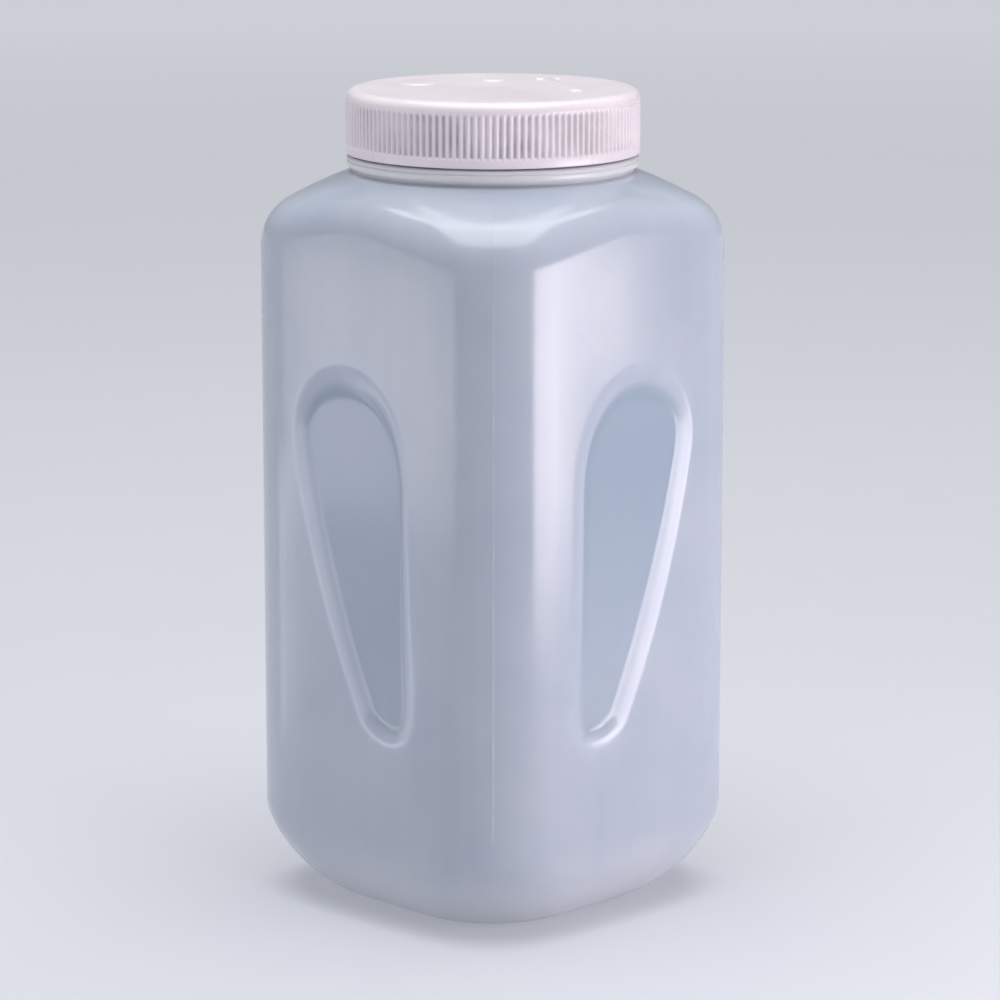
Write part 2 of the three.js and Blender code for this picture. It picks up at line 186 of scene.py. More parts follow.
# Colours, as display values from 0 to 255, and how they are used.
BOTTLE_COLOUR = (176, 189, 212)
BOTTLE_PALE = (186, 196, 217)
BOTTLE_DEEP = (145, 165, 189)
# lighter colour of the thick wall, on the neck also painted light
BOTTLE_THICK_AND_LIT = (220, 221, 227)
BOTTLE_MILK = 0.6  # share of the light that goes through the wall
# how far the grips' floors are darkened towards BOTTLE_DEEP, as painted shade
GRIP_SHADE_STRENGTH = 0.75
CAP_COLOUR = (226, 216, 223)
CAP_PALE = (232, 223, 229)
# painted shade in the grooves between the cap's ribs
CAP_GROOVE_SHADE = (142, 138, 142)
LINER_COLOUR = (236, 234, 228)
LINER_DARK = (228, 225, 216)
LINER_LIGHT = (240, 238, 233)
FLOOR_COLOUR = (170, 172, 178)
FLOOR_UNEVEN = 1.02
FLOOR_GLOW = (0.4, 3.5, 0.6, 1.2)  # distances from the axis in metres, and the floor's own light there
FLOOR_REACH = 9.0

# Studio, in metres. Azimuths go from the camera's direction, positive to its right.
WORLD_COLOUR = (0.94, 0.945, 1.0)
WORLD_STRENGTH = 0.25
KEY_COLOUR = (1.0, 0.89, 0.93)
KEY_UPPER_COLOUR = (1.0, 0.94, 0.96)
FILL_COLOUR = (1.0, 0.92, 0.98)
RIM_COLOUR = (1.0, 0.97, 0.99)
TOP_SIZE = 1.8
TOP_HEIGHT = 1.8
TOP_LEAD = 0.1
TOP_TILT = 3.0
CAMERA_AZIMUTH = math.radians(45)
CAMERA_DISTANCE = 1.511
CAMERA_HEIGHT = 0.4587
CAMERA_DIP = 0.2043
CAMERA_LENS = 151.6
CAMERA_SHIFT = 0.007


# ---------- meshes ----------


def new_object(name, points, faces, material):
    """A smooth-shaded mesh object from points in millimetres."""
    mesh = bpy.data.meshes.new(name)
    mesh.from_pydata((np.asarray(points) * MM).tolist(), [], faces)
    mesh.validate()
    mesh.shade_smooth()
    mesh.materials.append(material)
    piece = bpy.data.objects.new(name, mesh)
    bpy.context.scene.collection.objects.link(piece)
    return piece


def mark_points(piece, name, values):
    """Stores one number per point, for the piece's material to read."""
    layer = piece.data.attributes.new(name, "FLOAT", "POINT")
    layer.data.foreach_set("value", np.asarray(values, np.float32))


def skin(rings, close_start=False, close_end=False):
    """Quads between closed rings of equal length, with a fan to the middle at the ends asked for."""
    count = len(rings[0])
    points = np.concatenate(rings)
    faces = []
    for level in range(len(rings) - 1):
        a = level * count
        for i in range(count):
            j = (i + 1) % count
            faces.append((a + i, a + j, a + count + j, a + count + i))
    for level, wanted, flip in ((0, close_start, True), (len(rings) - 1, close_end, False)):
        if not wanted:
            continue
        hub = len(points)
        points = np.vstack([points, rings[level].mean(0)])
        for i in range(count):
            a, b = level * count + i, level * count + (i + 1) % count
            faces.append((b, a, hub) if flip else (a, b, hub))
    return points, faces


def join(*parts):
    """Several (points, faces) as one."""
    points, faces, start = [], [], 0
    for some_points, some_faces in parts:
        points.append(some_points)
        faces.extend(tuple(i + start for i in face) for face in some_faces)
        start += len(some_points)
    return np.concatenate(points), faces


def turned(profile, angles):
    """Rings of a turned shape from (radius, z) pairs."""
    c, s = np.cos(angles), np.sin(angles)
    return [np.stack([r * c, r * s, np.full_like(c, z)], 1) for r, z in profile]


def arc(centre_r, centre_z, radius, start, end, steps):
    """Profile points on an arc, angles in degrees from the outward direction."""
    a = np.radians(np.linspace(start, end, steps + 1))
    return [(centre_r + radius * math.cos(x), centre_z + radius * math.sin(x)) for x in a]


# ---------- body section ----------


def corner_radius(face, corner):
    """Radius of the corner arc that runs smoothly into faces of FACE_RADIUS."""
    back = FACE_RADIUS - face
    root2 = math.sqrt(2)
    above = corner**2 + root2 * back * corner + back**2 - FACE_RADIUS**2
    return above / (2 * corner + root2 * back - 2 * FACE_RADIUS)


def face_end(face, corner):
    """Angle, and distance along the face, where a face runs into its corner."""
    middle = (corner - corner_radius(face, corner)) / math.sqrt(2)
    lean = math.atan2(middle, middle + FACE_RADIUS - face)
    along = FACE_RADIUS * math.sin(lean)
    return math.atan2(along, face - FACE_RADIUS * (1 - math.cos(lean))), along


def section_angles():
    """Angles of the section's columns: even along each face, fine beside the parting lines."""
    first, along = face_end(HALF_WIDTH, DIAGONAL)
    face = np.arctan2(np.linspace(-along, along, FACE_COLUMNS), HALF_WIDTH)
    corner = np.linspace(first, QUARTER - first, CORNER_COLUMNS)[1:-1]
    clear = corner[np.abs(corner - QUARTER / 2) > SEAM_CLEAR / DIAGONAL]
    seam = QUARTER / 2 + np.array(SEAM_SPREAD) / DIAGONAL
    one = np.concatenate([face, np.sort(np.concatenate([clear, seam]))])
    return np.concatenate([one + k * QUARTER for k in range(4)])


ANGLES = section_angles()
SEAM_COLUMNS = [int(np.argmin(np.abs(ANGLES - a))) for a in (1.5 * QUARTER, 3.5 * QUARTER)]


def section_radius(face, corner):
    """Distance from the axis, at each column, to a square with crowned faces and round corners."""
    rounding = corner_radius(face, corner)
    middle = (corner - rounding) / math.sqrt(2)
    turn = np.abs((ANGLES + QUARTER / 2) % QUARTER - QUARTER / 2)
    back = face - FACE_RADIUS
    flat = back * np.cos(turn) + np.sqrt(FACE_RADIUS**2 - (back * np.sin(turn)) ** 2)
    across = middle * (np.cos(turn) - np.sin(turn))
    curved = middle * (np.cos(turn) + np.sin(turn)) + np.sqrt(np.maximum(rounding**2 - across**2, 0))
    return np.where(turn <= face_end(face, corner)[0], flat, curved)


def bezier(a, b, c, d, steps):
    """Points on a cubic curve, without its last."""
    t = np.linspace(0, 1, steps, endpoint=False)[:, None]
    a, b, c, d = (np.array(p, float) for p in (a, b, c, d))
    return (1 - t) ** 3 * a + 3 * (1 - t) ** 2 * t * b + 3 * (1 - t) * t**2 * c + t**3 * d


def grip_rim():
    """The rim of a grip, seen square on: straight near side, top, slanting far side and foot."""
    return np.concatenate(
        [
            np.linspace(RIM_SIDE_LOW, RIM_SIDE_HIGH, 60, endpoint=False),
            bezier(RIM_SIDE_HIGH, (31.5, 188), (18, 204), RIM_TOP, 60),
            bezier(RIM_TOP, (-19, 204), (-34, 191), RIM_FAR, 50),
            bezier(RIM_FAR, (-25, 140), (-13, 106.5), RIM_FOOT, 100),
            bezier(RIM_FOOT, (7.5, 67.3), (31.5, 62), RIM_SIDE_LOW, 50),
        ]
    )


RIM = grip_rim()
RIM_OUT = np.roll(RIM, -1, 0) - np.roll(RIM, 1, 0)
RIM_OUT = np.stack([RIM_OUT[:, 1], -RIM_OUT[:, 0]], 1)
RIM_OUT /= np.linalg.norm(RIM_OUT, axis=1)[:, None]


def grip_share(along, z, offset):
    """How far down a grip's wall each place on a face is: 0 outside the rim and 1 on the floor."""
    p = np.stack([along, np.full_like(along, z)], 1)
    gap = p[:, None] - RIM[None]
    near = np.argmin((gap**2).sum(2), 1)
    n = RIM_OUT[near]
    inside = -(gap[np.arange(len(p)), near] * n).sum(1) + offset
    climb = min(1.0, max(0.0, (z - GRIP_FOOT_AT) / GRIP_FOOT_RUN))
    near_wall = (GRIP_NEAR[0], GRIP_NEAR_FOOT + (GRIP_NEAR[1] - GRIP_NEAR_FOOT) * climb)
    width, power = (
        np.where(n[:, 0] > 0, near_wall[i], GRIP_FAR[i]) * n[:, 0] ** 2
        + np.where(n[:, 1] > 0, GRIP_ABOVE[i], GRIP_BELOW[i]) * n[:, 1] ** 2
        for i in (0, 1)
    )
    u = np.clip(inside / width, 0, GRIP_OVERRUN)
    level = GRIP_CREASE**power
    slope = power * GRIP_CREASE ** (power - 1)
    run = GRIP_OVERRUN - GRIP_CREASE
    v = np.clip((u - GRIP_CREASE) / run, 0, 1)
    eased = level + slope * run * (v - v**2 / 2)
    return np.where(u < GRIP_CREASE, u**power, eased) / (level + slope * run / 2)


def body_ring(z, face, corner, grips=False, offset=0.0):
    """One ring of the body. The grips on +X and -Y share the corner between them, as do the other two."""
    radius = section_radius(face, corner)
    x, y = radius * np.cos(ANGLES), radius * np.sin(ANGLES)
    ring = np.stack([x, y, np.full_like(x, z)], 1)
    if not grips:
        return ring
    for k, towards in enumerate(GRIP_SIDES):
        nx, ny = math.cos(k * QUARTER), math.sin(k * QUARTER)
        along = -x * ny + y * nx
        away = x * nx + y * ny
        on = (away > 0) & (np.abs(along) < GRIP_REACH)
        t = towards * along[on]
        floor_at = HALF_WIDTH - offset - GRIP_DEPTH
        push = np.minimum(0, floor_at - away[on]) * grip_share(t, z, offset)
        ring[on, 0] += nx * push
        ring[on, 1] += ny * push
    return ring


def heel_inset(z, height):
    """How far the rounded heel stands in from the wall at a height."""
    if z >= height:
        return 0.0
    return height * (1 - (1 - ((height - z) / height) ** HEEL_POWER) ** (1 / HEEL_POWER))


def dome(radius):
    """Height of the shoulder's dome at a distance from the axis."""
    out = radius - SHOULDER_RADIUS
    return SHOULDER_TOP - SHOULDER_SLOPE * out - SHOULDER_DOME * out * out


def crest(wall, radius):
    """Where a crest arc touches the dome: its centre's height, its end angle and its end's radius."""
    angle = math.pi / 3  # a first guess, which settles in a few rounds
    for _ in range(8):
        out = wall - radius + radius * math.cos(angle) - SHOULDER_RADIUS
        angle = math.pi / 2 - math.atan(SHOULDER_SLOPE + 2 * SHOULDER_DOME * out)
    touch = wall - radius + radius * math.cos(angle)
    return dome(touch) - radius * math.sin(angle), angle, touch


def shoulder_point(wall, radius, step):
    """A place on the shoulder's profile, with step going from 0 at the wall to 1 at the neck."""
    start, angle, touch = crest(wall, radius)
    if step <= CREST_SHARE:
        a = angle * step / CREST_SHARE
        return wall - radius + radius * math.cos(a), start + radius * math.sin(a)
    out = touch + (SHOULDER_RADIUS - touch) * (step - CREST_SHARE) / (1 - CREST_SHARE)
    return out, dome(out)


def shoulder_ring(step, inset):
    """One ring of the shoulder, between the profile at the faces and the one at the corners."""
    face, face_z = shoulder_point(HALF_WIDTH, CREST_AT_FACE, step)
    corner, corner_z = shoulder_point(DIAGONAL, CREST_AT_CORNER, step)
    ring = body_ring(0, face - inset, max(corner, face) - inset)
    share = np.sin(2 * ANGLES) ** 2
    ring[:, 2] = face_z + (corner_z - face_z) * share - inset * step
    return ring


def body_rings(inset, rows):
    """The body from heel to neck, with rows as in OUTER_ROWS."""
    heel_rows, grip_step, shoulder_rows = rows
    rings = []
    for u in np.linspace(0, 1, heel_rows):
        z = HEEL_AT_CORNER * u**HEEL_BUNCHING
        face = HALF_WIDTH - heel_inset(z, HEEL_AT_FACE) - inset
        corner = DIAGONAL - heel_inset(z, HEEL_AT_CORNER) - inset
        share = z / HEEL_AT_CORNER
        rings.append(body_ring(z + inset * (1 - share), face, corner))
    for z in (*RINGS_BELOW_GRIPS, *np.arange(*RINGS_AT_GRIPS, grip_step), *RINGS_ABOVE_GRIPS):
        grips = GRIP_HEIGHTS[0] < z < GRIP_HEIGHTS[1]
        rings.append(body_ring(z, HALF_WIDTH - inset, DIAGONAL - inset, grips, inset))
    for step in np.linspace(0, 1, shoulder_rows):
        rings.append(shoulder_ring(step, inset))
    return rings


def base_rings(inset, steps):
    """The raised middle of the base, centre first."""
    face = HALF_WIDTH - HEEL_AT_FACE - FOOT_WIDTH
    corner = DIAGONAL - HEEL_AT_CORNER - FOOT_WIDTH
    rings = []
    for share in np.linspace(1, 0, steps):
        inward = PUSH_UP_SLOPE * share
        rise = share * share * (3 - 2 * share)
        rings.append(body_ring(PUSH_UP * rise + inset, face - inward, corner - inward))
    return rings


def seam_wave(z):
    """Between -1 and 1 along a parting line, to make it uneven."""
    return np.sin(z / SEAM_WAVES[0]) * np.sin(z / SEAM_WAVES[1])


def seam_lift(rings):
    """Raises the parting line at the two gripped corners, along each ring's outward direction."""
    for ring in rings:
        for column in SEAM_COLUMNS:
            x, y, z = ring[column]
            rise = SEAM_HEIGHT * (0.65 + 0.35 * seam_wave(z))
            rise *= min(1, max(0, (z - SEAM_BOTTOM) / SEAM_FADE))
            ring[column, :2] += rise * ring[column, :2] / math.hypot(x, y)
    return rings


# ---------- threads ----------


def thread(radius, inward, start, turns):
    """A helical ridge on the outside or the inside of a wall, closed at both ends."""
    out = -1 if inward else 1
    root, tip = THREAD_ROOT_WIDTH / 2, THREAD_CREST_WIDTH / 2
    flank = [
        (-THREAD_SINK, root),
        (0.1 * THREAD_HEIGHT, 0.86 * root),
        (0.85 * THREAD_HEIGHT, 1.15 * tip),
        (THREAD_HEIGHT, 0.7 * tip),
    ]
    section = [(rise, -side) for rise, side in flank] + flank[::-1]
    if inward:
        section = section[::-1]
    count = round(turns * THREAD_STEPS)
    rings = []
    for i in range(count + 1):
        turn = i / count * turns
        end = min(1.0, max(THREAD_END, min(turn, turns - turn) / THREAD_FADE))
        size = end * (2 - end)
        a = 2 * math.pi * turn
        ring = []
        for rise, dz in section:
            r = radius + out * (rise * size if rise > 0 else rise)
            ring.append((r * math.cos(a), r * math.sin(a), start + PITCH * turn + dz))
        rings.append(np.array(ring))
    return skin(rings, True, True)


# ---------- pieces ----------


def ramp(values, start, run):
    """0 before start and 1 after a run from it."""
    return np.clip((values - start) / run, 0, 1)


def bottle_mesh():
    """The hollow bottle: its outside from the base up, then its inside back down, and the thread."""
    bead = [
        (SHOULDER_RADIUS - 0.75, SHOULDER_TOP + 0.45),
        (SHOULDER_RADIUS - 0.7, BEAD_BOTTOM - 0.1),
        (SHOULDER_RADIUS, BEAD_BOTTOM + 0.3),
        (BEAD_RADIUS - 0.35, BEAD_BOTTOM + BEAD_EDGE - 0.2),
        (BEAD_RADIUS, BEAD_BOTTOM + BEAD_EDGE + 0.3),
        (BEAD_RADIUS, BEAD_GROOVE - BEAD_GROOVE_DEPTH),
        (BEAD_RADIUS - 0.12, BEAD_GROOVE - 0.25),
        (BEAD_RADIUS - BEAD_GROOVE_DEPTH, BEAD_GROOVE),
        (BEAD_RADIUS - 0.12, BEAD_GROOVE + 0.25),
        (BEAD_RADIUS, BEAD_GROOVE + BEAD_GROOVE_DEPTH),
        *arc(BEAD_RADIUS - BEAD_EDGE, BEAD_TOP - BEAD_EDGE, BEAD_EDGE, 10, 90, 4),
    ]
    neck = [
        (NECK_RADIUS + 0.8, BEAD_TOP),
        (NECK_RADIUS + 0.2, BEAD_TOP + 0.25),
        (NECK_RADIUS, BEAD_TOP + 0.9),
        (NECK_RADIUS, NECK_MIDDLE),
        (NECK_RADIUS, MOUTH_TOP - LIP_EDGE),
        *arc(NECK_RADIUS - LIP_EDGE, MOUTH_TOP - LIP_EDGE, LIP_EDGE, 20, 90, 4),
    ]
    mouth = [
        (MOUTH_RADIUS + 1.6, SHOULDER_TOP - WALL),
        (MOUTH_RADIUS + 0.4, BEAD_BOTTOM),
        (MOUTH_RADIUS, BEAD_TOP),
        (MOUTH_RADIUS, NECK_MIDDLE),
        (MOUTH_RADIUS, MOUTH_TOP - 1.5 * LIP_EDGE),
        *arc(MOUTH_RADIUS + LIP_EDGE, MOUTH_TOP - LIP_EDGE, LIP_EDGE, 180, 110, 4),
    ]
    outer = base_rings(0, OUTER_BASE_ROWS) + seam_lift(body_rings(0, OUTER_ROWS))
    outer += turned(bead + neck, ANGLES)
    inner = base_rings(WALL, INNER_BASE_ROWS) + body_rings(WALL, INNER_ROWS)[:-1]
    inner += turned(mouth, ANGLES)
    shell = skin(outer + inner[::-1], True, True)
    ridge = thread(NECK_RADIUS, False, BOTTLE_THREAD_START, BOTTLE_THREAD_TURNS)
    return join(shell, ridge)


def grip_shade_mask(points):
    """1 on the floor of a grip, where the plastic is darkened most as painted shade, less low down, and 0
    away from the grips.
    """
    x, y, z = points.T
    along, away = np.minimum(np.abs(x), np.abs(y)), np.maximum(np.abs(x), np.abs(y))
    pressed = HALF_WIDTH - along**2 / (2 * FACE_RADIUS) - away
    beside = (along < GRIP_SHADE_REACH) & (z > GRIP_SHADE_HEIGHTS[0]) & (z < GRIP_SHADE_HEIGHTS[1])
    fade = GRIP_SHADE_LOW + (1 - GRIP_SHADE_LOW) * ramp(z, *GRIP_SHADE_RISE)
    return np.where(beside, fade * ramp(pressed, GRIP_SHADE_DEPTH, GRIP_SHADE_RUN), 0)


def thickness_and_neck_light(points):
    """1 on the neck, where the wall is thickest and the lighter colour is also painted light on the bead
    below the cap, and part of that on the heel and the parting lines.
    """
    x, y, z = points.T
    neck = ramp(z, SHOULDER_TOP - 1, 2)
    heel = HEEL_MILK * (1 - ramp(z, 0, HEEL_AT_CORNER))
    seam = (np.abs(x + y) < 0.1) & (z > SEAM_BOTTOM) & (z < SEAM_TOP)
    uneven = 0.45 + 0.25 * seam_wave(z) + 0.2 * np.sin(z / 41.0)
    return neck + heel + np.where(seam, uneven, 0)


def grooves(points):
    """1 at the bottom of the grooves between the cap's ribs, and 0 on their crests, for the painted shade
    there.
    """
    x, y, z = points.T
    depth = ramp(CAP_RADIUS - np.hypot(x, y), 0, RIB_DEPTH)
    return np.where((z > RIB_BOTTOM) & (z < RIB_TOP), depth**2, 0)


def pad(outline):
    """A raised flat mark with a soft edge on the cap's top, from a closed outline going anticlockwise."""
    outline = np.array(outline)
    along = np.roll(outline, -1, 0) - np.roll(outline, 1, 0)
    out = np.stack([along[:, 1], -along[:, 0]], 1)
    out /= np.linalg.norm(out, axis=1)[:, None]
    rings = []
    for inset, share in MARK_EDGE:
        flat = outline - out * inset
        rings.append(np.column_stack([flat, np.full(len(flat), CAP_TOP + share * MARK_HEIGHT)]))
    return skin(rings, False, True)


def oval(length, width, at, angle=0.0, steps=64):
    """A closed oval outline, turned by an angle."""
    a = np.linspace(0, 2 * math.pi, steps, endpoint=False)
    x, y = length / 2 * np.cos(a), width / 2 * np.sin(a)
    c, s = math.cos(angle), math.sin(angle)
    return np.stack([at[0] + c * x - s * y, at[1] + s * x + c * y], 1)


def rounded(corners, radius, steps=6, spacing=0.6):
    """A closed outline whose corners are eased by short curves, with points all along its sides."""
    points = []
    count = len(corners)
    for i in range(count):
        p = np.array(corners[i], float)
        a = np.array(corners[i - 1], float) - p
        b = np.array(corners[(i + 1) % count], float) - p
        reach = np.linalg.norm(b)
        start = p + a / np.linalg.norm(a) * radius
        end = p + b / reach * radius
        for t in np.linspace(0, 1, steps, endpoint=False):
            points.append((1 - t) ** 2 * start + 2 * (1 - t) * t * p + t * t * end)
        for t in np.linspace(radius, reach - radius, round(reach / spacing), endpoint=False):
            points.append(p + b / reach * t)
    return np.array(points)


def arrow_pads():
    """The arrow's shaft and head, as two pads that run into each other."""
    tail, tip = np.array(ARROW_TAIL), np.array(ARROW_TIP)
    run = tip - tail
    length = float(np.linalg.norm(run))
    ahead = run / length
    left = np.array([-ahead[1], ahead[0]])
    neck, half, barb = length - ARROW_HEAD, ARROW_WIDTH / 2, ARROW_HEAD / 2
    shaft = [(0, -half), (neck + 1, -half), (neck + 1, half), (0, half)]
    head = [(neck, -barb), (length, 0), (neck, barb)]
    return [
        pad(rounded([tail + ahead * x + left * y for x, y in shape], ARROW_ROUNDING))
        for shape in (shaft, head)
    ]


def cap_mesh():
    """The cap: its bore from the plate down, its skirt and top, its thread and the marks on its top."""
    angles = np.linspace(0, 2 * math.pi, RIB_COUNT * RIB_STEPS, endpoint=False)
    ridge_shape = (np.cos(angles * RIB_COUNT) * 0.5 + 0.5) ** RIB_SHARPNESS

    def ribbed(z, strength):
        r = CAP_RADIUS - RIB_DEPTH * strength * (1 - ridge_shape)
        return np.stack([r * np.cos(angles), r * np.sin(angles), np.full_like(angles, z)], 1)

    ceiling = CAP_TOP - CAP_PLATE
    bore = [
        (20.0, ceiling),
        (CAP_BORE - 0.8, ceiling),
        (CAP_BORE - 0.2, ceiling - 0.3),
        (CAP_BORE, ceiling - 1.0),
        (CAP_BORE, 286.0),
        (CAP_BORE, CAP_BOTTOM + 0.7),
        (CAP_BORE + 0.5, CAP_BOTTOM),
    ]
    flange = [
        *arc(CAP_RADIUS - CAP_FLANGE_EDGE, CAP_BOTTOM + CAP_FLANGE_EDGE, CAP_FLANGE_EDGE, -90, 0, 4),
        (CAP_RADIUS, CAP_BOTTOM + 1.8),
        (CAP_RADIUS, RIB_BOTTOM - 0.7),
    ]
    crown = [
        *arc(CAP_RADIUS - CAP_EDGE, CAP_TOP - CAP_EDGE, CAP_EDGE, 0, 90, 9),
        (44.0, CAP_TOP),
        (30.0, CAP_TOP),
        (12.0, CAP_TOP),
    ]
    rings = turned(bore + flange, angles)
    rings += [ribbed(RIB_BOTTOM + z, strength) for z, strength in RIB_FOOT_ROWS]
    rings += [ribbed(RIB_TOP + z, strength) for z, strength in RIB_HEAD_ROWS]
    rings += turned(crown, angles)
    shell = skin(rings, True, True)
    ridge = thread(CAP_BORE, True, BOTTLE_THREAD_START - PITCH / 2, CAP_THREAD_TURNS)
    marks = [
        pad(oval(2 * DOT_RADIUS, 2 * DOT_RADIUS, DOT_AT)),
        pad(oval(*OVAL_SIZE, OVAL_AT, 1.5 * QUARTER)),
        *arrow_pads(),
    ]
    return join(shell, ridge, *marks)


def liner_mesh():
    """The liner's disc, dented underneath in a ring where the mouth presses it."""
    profile = [
        (38.0, LINER_BOTTOM),
        (MOUTH_RADIUS - 0.4, LINER_BOTTOM),
        (MOUTH_RADIUS, LINER_BOTTOM + LINER_DENT),
        (NECK_RADIUS - 0.7, LINER_BOTTOM + LINER_DENT),
        (NECK_RADIUS - 0.4, LINER_BOTTOM),
        (LINER_RADIUS - 0.15, LINER_BOTTOM + 0.03),
        (LINER_RADIUS, LINER_BOTTOM + 0.2),
        (LINER_RADIUS, LINER_TOP - 0.2),
        (LINER_RADIUS - 0.2, LINER_TOP),
        (30.0, LINER_TOP),
    ]
    angles = np.linspace(0, 2 * math.pi, LINER_STEPS, endpoint=False)
    return skin(turned(profile, angles), True, True)


# ---------- materials ----------


def linear(*srgb):
    """Display values from 0 to 255 as linear ones."""
    return [(c / 255 / 12.92) if c <= 10 else ((c / 255 + 0.055) / 1.055) ** 2.4 for c in srgb]


class Look:
    """A Principled material with short helpers for its nodes."""

    def __init__(self, name, colour, roughness):
        self.material = bpy.data.materials.new(name)
        self.material.use_nodes = True
        self.nodes = self.material.node_tree.nodes
        self.links = self.material.node_tree.links
        self.shader = self.nodes["Principled BSDF"]
        self.set("Base Color", (*colour, 1))
        self.set("Roughness", roughness)
        self.place = self.nodes.new("ShaderNodeTexCoord").outputs["Object"]

    def set(self, socket, value):
        self.shader.inputs[socket].default_value = value

    def stretched(self, x, y, z):
        node = self.nodes.new("ShaderNodeMapping")
        node.inputs["Scale"].default_value = (x, y, z)
        self.links.new(self.place, node.inputs["Vector"])
        return node.outputs["Vector"]

    def noise(self, scale, detail=3.0, rough=0.5, place=None):
        node = self.nodes.new("ShaderNodeTexNoise")
        node.inputs["Scale"].default_value = scale
        node.inputs["Detail"].default_value = detail
        node.inputs["Roughness"].default_value = rough
        self.links.new(place or self.place, node.inputs["Vector"])
        return node.outputs["Fac"]

    def remap(self, value, low, high, to_low, to_high):
        node = self.nodes.new("ShaderNodeMapRange")
        for socket, number in zip(("From Min", "From Max", "To Min", "To Max"), (low, high, to_low, to_high)):
            node.inputs[socket].default_value = number
        self.links.new(value, node.inputs["Value"])
        return node.outputs["Result"]

    def spread(self, noise, to_low=0, to_high=1):
        """A noise, which mostly stays between 0.3 and 0.7, stretched over a range."""
        return self.remap(noise, 0.3, 0.7, to_low, to_high)

    def math(self, kind, a, b):
        node = self.nodes.new("ShaderNodeMath")
        node.operation = kind
        for socket, value in zip(node.inputs, (a, b)):
            if isinstance(value, (int, float)):
                socket.default_value = value
            else:
                self.links.new(value, socket)
        return node.outputs[0]

    def blend(self, share, a, b):
        node = self.nodes.new("ShaderNodeMix")
        node.data_type = "RGBA"
        self.links.new(share, node.inputs["Factor"])
        for socket, value in ((node.inputs[6], a), (node.inputs[7], b)):
            if isinstance(value, (tuple, list)):
                socket.default_value = (*value[:3], 1)
            else:
                self.links.new(value, socket)
        return node.outputs[2]

    def plug(self, value, socket):
        self.links.new(value, self.shader.inputs[socket])

    def bump(self, height, distance, strength=1.0):
        node = self.nodes.new("ShaderNodeBump")
        node.inputs["Strength"].default_value = strength
        node.inputs["Distance"].default_value = distance
        self.links.new(height, node.inputs["Height"])
        self.links.new(node.outputs["Normal"], self.shader.inputs["Normal"])

    def attribute(self, name):
        node = self.nodes.new("ShaderNodeAttribute")
        node.attribute_name = name
        return node.outputs["Fac"]


def translucent_plastic():
    """Milky blow-moulded plastic: an uneven wall, faint flow lines up the body and fine scuffs, with painted
    shade on the grips' floors and a lighter neck that is partly painted light.

    Noise scales here and below are in features per metre. Flow lines and scuffs are stretched upwards.
    """
    look = Look("bottle_plastic", linear(*BOTTLE_COLOUR), 0.22)
    look.set("Subsurface Weight", BOTTLE_MILK)
    look.set("Subsurface Radius", (0.9, 1.0, 1.15))
    look.set("Subsurface Scale", 0.012)
    look.set("IOR", 1.52)
    mottle = look.noise(26, 4)
    lines = look.noise(1.0, 4, 0.6, look.stretched(160, 160, 3))
    cloud = look.noise(9, 2)
    milk = look.blend(look.spread(mottle), linear(*BOTTLE_COLOUR), linear(*BOTTLE_PALE))
    milk = look.blend(look.remap(lines, 0.35, 0.75, 0, 0.09), milk, linear(*BOTTLE_DEEP))
    # Painted shade: the floors of the grips are darkened towards BOTTLE_DEEP.
    grip_shade = look.math("MULTIPLY", look.attribute("grip_shade"), GRIP_SHADE_STRENGTH)
    milk = look.blend(grip_shade, milk, linear(*BOTTLE_DEEP))
    # Lighter where the wall is thick; on the neck this is also painted light on the bead in the cap's shade.
    milk = look.blend(look.attribute("thick_wall_and_neck_light"), milk, linear(*BOTTLE_THICK_AND_LIT))
    look.plug(milk, "Base Color")
    scratches = look.noise(1.0, 5, 0.7, look.stretched(900, 900, 60))
    scuff = look.remap(scratches, 0.62, 0.8, 0, 0.14)
    rough = look.math("ADD", look.spread(cloud, 0.15, 0.21), scuff)
    look.plug(rough, "Roughness")
    ripple = look.math("MULTIPLY", lines, 0.2)
    swell = look.math("MULTIPLY", look.noise(14, 2), 6.0)
    grain = look.math("MULTIPLY", look.noise(1400, 2), 0.12)
    look.bump(look.math("ADD", look.math("ADD", swell, ripple), grain), 0.00007, 0.6)
    return look.material


def white_plastic():
    """Opaque white closure: fine moulded grain, painted shade between the ribs and faint scuffs."""
    look = Look("cap_plastic", linear(*CAP_COLOUR), 0.28)
    look.set("IOR", 1.49)
    white = look.blend(look.spread(look.noise(38, 4)), linear(*CAP_COLOUR), linear(*CAP_PALE))
    # Painted shade: the grooves between the ribs are darkened towards a grey, unevenly in patches.
    patches = look.remap(look.noise(70, 4), 0.35, 0.7, 0.25, 1.0)
    groove_shade = look.math("MULTIPLY", look.attribute("groove"), patches)
    white = look.blend(look.math("MULTIPLY", groove_shade, 0.9), white, linear(*CAP_GROOVE_SHADE))
    look.plug(white, "Base Color")
    scuff = look.remap(look.noise(420, 5, 0.7), 0.6, 0.8, 0, 0.16)
    rough = look.math("ADD", look.spread(look.noise(24, 3), 0.24, 0.34), scuff)
    look.plug(rough, "Roughness")
    swell = look.math("MULTIPLY", look.noise(60, 2), 1.5)
    look.bump(look.math("ADD", look.noise(1800, 2), swell), 0.00003, 0.6)
    return look.material


def soft_foam():
    """Closed-cell liner: small cells in the surface and slightly uneven whiteness."""
    look = Look("liner_foam", linear(*LINER_COLOUR), 0.6)
    cells = look.nodes.new("ShaderNodeTexVoronoi")
    cells.inputs["Scale"].default_value = 1100
    look.links.new(look.place, cells.inputs["Vector"])
    tone = look.spread(look.noise(60, 4))
    look.plug(look.blend(tone, linear(*LINER_DARK), linear(*LINER_LIGHT)), "Base Color")
    look.plug(look.spread(look.noise(300, 3), 0.5, 0.72), "Roughness")
    look.bump(cells.outputs["Distance"], 0.00008, 0.7)
    return look.material


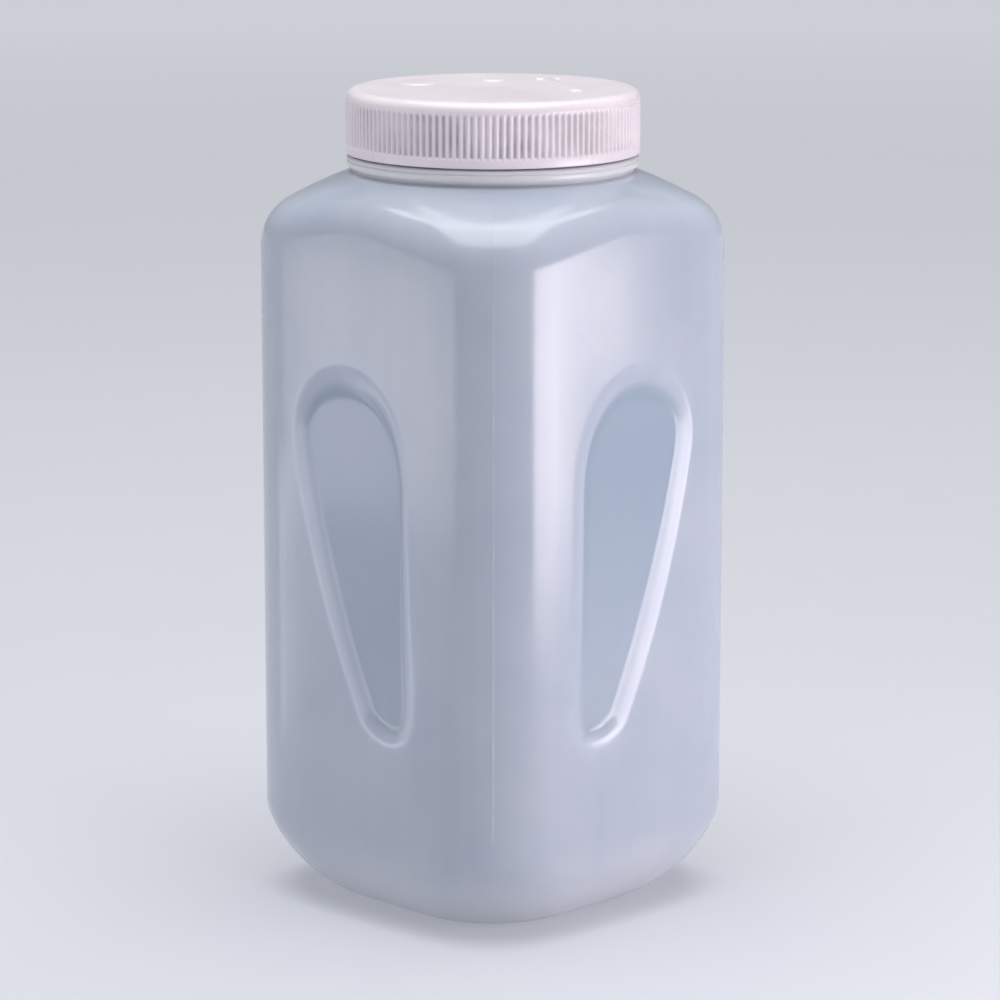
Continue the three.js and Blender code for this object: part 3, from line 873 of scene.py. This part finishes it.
def pale_floor():
    """A matt floor with the faintest unevenness, lit a little from within far away to keep it even."""
    colour = linear(*FLOOR_COLOUR)
    look = Look("pale_floor", colour, 0.8)
    tone = look.spread(look.noise(3, 4))
    look.plug(look.blend(tone, colour, [c * FLOOR_UNEVEN for c in colour]), "Base Color")
    look.plug(look.spread(look.noise(40, 4), 0.7, 0.85), "Roughness")
    look.bump(look.noise(500, 3), 0.0001, 0.3)
    look.set("Emission Color", (*colour, 1))
    away = look.nodes.new("ShaderNodeVectorMath")
    away.operation = "LENGTH"
    look.links.new(look.place, away.inputs[0])
    look.plug(look.remap(away.outputs["Value"], *FLOOR_GLOW), "Emission Strength")
    return look.material


# ---------- the object ----------

points, faces = bottle_mesh()
bottle = new_object("bottle_body", points, faces, translucent_plastic())
mark_points(bottle, "grip_shade", grip_shade_mask(points))
mark_points(bottle, "thick_wall_and_neck_light", thickness_and_neck_light(points))
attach(bottle, "bottle")
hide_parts("bottle")

points, faces = cap_mesh()
cap = new_object("cap_shell", points, faces, white_plastic())
mark_points(cap, "groove", grooves(points))
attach(cap, "cap")
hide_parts("screw_cap")

points, faces = liner_mesh()
liner = new_object("liner_disc", points, faces, soft_foam())
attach(liner, "liner")
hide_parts("cap_liner")

# ---------- floor, light and camera ----------

floor_mesh = bpy.data.meshes.new("floor")
floor_corners = [(x * FLOOR_REACH, y * FLOOR_REACH, 0) for x, y in ((-1, -1), (1, -1), (1, 1), (-1, 1))]
floor_mesh.from_pydata(floor_corners, [], [(0, 1, 2, 3)])
floor = bpy.data.objects.new("floor", floor_mesh)
bpy.context.scene.collection.objects.link(floor)
floor_mesh.materials.append(pale_floor())

world = bpy.data.worlds.new("studio")
bpy.context.scene.world = world
world.use_nodes = True
background = world.node_tree.nodes["Background"]
background.inputs["Color"].default_value = (*WORLD_COLOUR, 1)
background.inputs["Strength"].default_value = WORLD_STRENGTH


def from_camera(azimuth, distance, height):
    """A place and the heading there, from an azimuth in degrees and a distance from the axis."""
    heading = CAMERA_AZIMUTH + math.radians(azimuth)
    return (distance * math.sin(heading), -distance * math.cos(heading), height), heading


def softbox(name, azimuth, distance, low, high, width, radiance, colour=(1, 1, 1)):
    """An upright rectangular light facing the axis, between two heights."""
    data = bpy.data.lights.new(name, "AREA")
    data.shape = "RECTANGLE"
    data.size, data.size_y = width, high - low
    data.energy = radiance * math.pi * width * (high - low)
    data.color = colour
    light = bpy.data.objects.new(name, data)
    light.location, heading = from_camera(azimuth, distance, (low + high) / 2)
    light.rotation_euler = (math.radians(90), 0, heading)
    bpy.context.scene.collection.objects.link(light)
    return light


softbox("key_low", 62.5, 0.62, 0.0, 0.08, 0.38, 6.6, KEY_COLOUR)
softbox("key_high", 62.5, 0.62, 0.08, 0.215, 0.38, 8.3, KEY_COLOUR)
softbox("key_upper", 83.5, 0.62, 0.1, 0.18, 0.08, 5.0, KEY_UPPER_COLOUR)
softbox("fill", -70, 0.75, 0.0, 0.155, 0.76, 2.3, FILL_COLOUR)
softbox("rim_left", -97, 0.321, 0.0, 0.12, 0.05, 1.2, RIM_COLOUR)
top = softbox("top", 0, TOP_LEAD, TOP_HEIGHT - TOP_SIZE / 2, TOP_HEIGHT + TOP_SIZE / 2, TOP_SIZE, 3.7)
top.rotation_euler = (math.radians(TOP_TILT), 0, CAMERA_AZIMUTH)

camera_data = bpy.data.cameras.new("camera")
camera_data.sensor_width = 36
camera_data.lens = CAMERA_LENS
camera_data.shift_x = CAMERA_SHIFT
camera_data.clip_end = 100
camera = bpy.data.objects.new("camera", camera_data)
camera.location, heading = from_camera(0, CAMERA_DISTANCE, CAMERA_HEIGHT)
camera.rotation_euler = (math.pi / 2 - CAMERA_DIP, 0, heading)
bpy.context.scene.collection.objects.link(camera)
bpy.context.scene.camera = camera
bpy.context.scene.view_settings.view_transform = "Standard"
